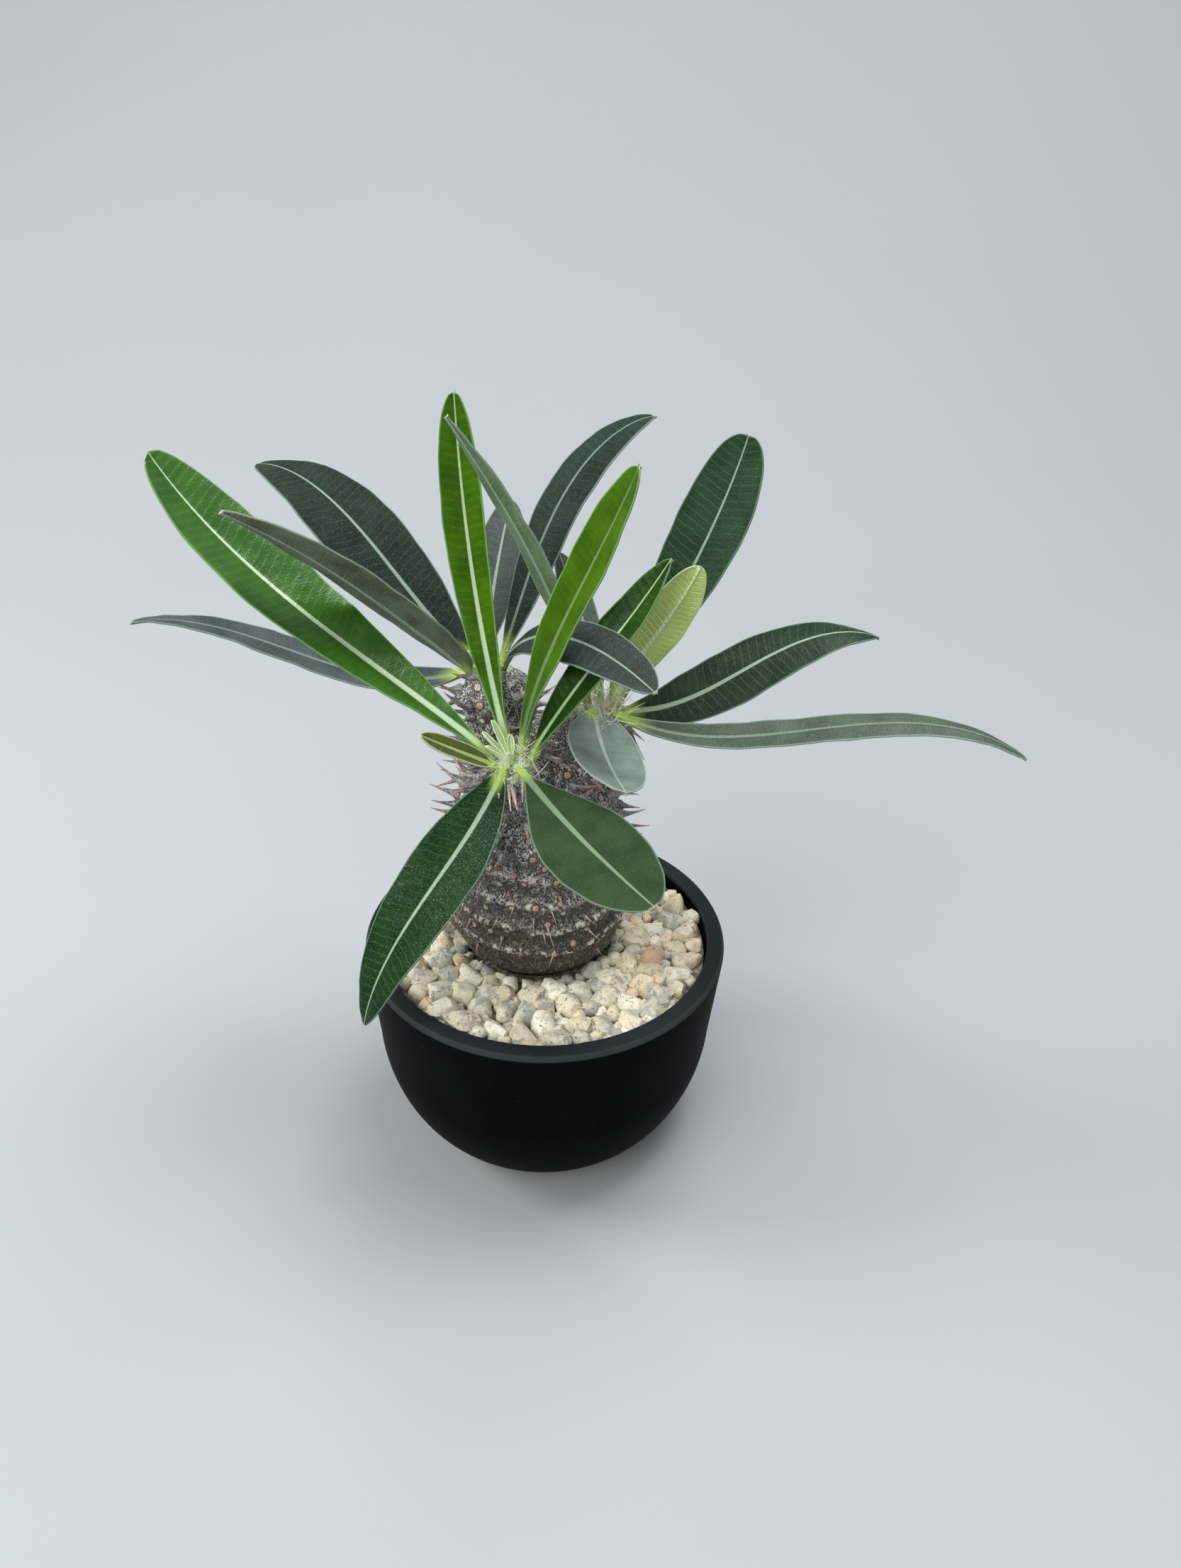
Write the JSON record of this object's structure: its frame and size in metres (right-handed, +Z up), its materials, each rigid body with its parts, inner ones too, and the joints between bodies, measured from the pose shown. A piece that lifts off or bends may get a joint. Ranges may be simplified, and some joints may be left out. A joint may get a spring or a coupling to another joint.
{
  "type": "potted pachypodium",
  "caption": "Young caudiciform succulent: a swollen spiny stem branching into crowns of long leaves, rooted in a round tapered black pot topped with pale gravel.",
  "frame": {"origin": "on the pot's axis, on the flat face that the pot stands on", "axes": "+Z up along the pot's axis; the plant's front, as it was pictured, faces -Y; +X is the viewer's right"},
  "size_m": [0.1973, 0.1116, 0.1841],
  "materials": {
    "pot": "fine-grained matt black",
    "substrate": "loose dark mineral potting mix",
    "gravel": "dry cream and grey angular stones",
    "bark": "living grey-brown bark, finely wrinkled, with red-brown spines",
    "newborn_leaf": "pale green newborn leaf tips in white wool",
    "bright_leaf": "fresh green leaf with a satin shine and a pale midrib",
    "young_leaf": "yellow-green young leaf, slightly hairy",
    "dark_leaf": "dark green leaf with fine pale dots and a pale midrib",
    "grey_leaf": "grey-green leaf with fine pale hairs and a pale midrib"
  },
  "bodies": {
    "root": {"pot": "pot", "substrate": "substrate", "gravel_top": "gravel", "caudex": "bark", "front_crown_bud": "newborn_leaf", "rear_crown_bud": "newborn_leaf", "right_crown_bud": "newborn_leaf", "leaf_front_long_left": "bright_leaf", "leaf_front_young_left": "young_leaf", "leaf_front_upright": "bright_leaf", "leaf_front_upright_right": "bright_leaf", "leaf_front_short_right": "bright_leaf", "leaf_front_hanging_left": "dark_leaf", "leaf_front_hanging_right": "dark_leaf", "leaf_rear_low_left": "grey_leaf", "leaf_rear_broad_left": "grey_leaf", "leaf_rear_narrow_left": "grey_leaf", "leaf_rear_hidden": "grey_leaf", "leaf_rear_long_right": "grey_leaf", "leaf_rear_arched": "grey_leaf", "leaf_right_long": "dark_leaf", "leaf_right_low": "grey_leaf", "leaf_right_broad": "dark_leaf", "leaf_right_young": "young_leaf", "leaf_right_drooping": "grey_leaf", "leaf_right_upright": "grey_leaf", "leaf_right_rear": "grey_leaf"}
  },
  "joints": []
}
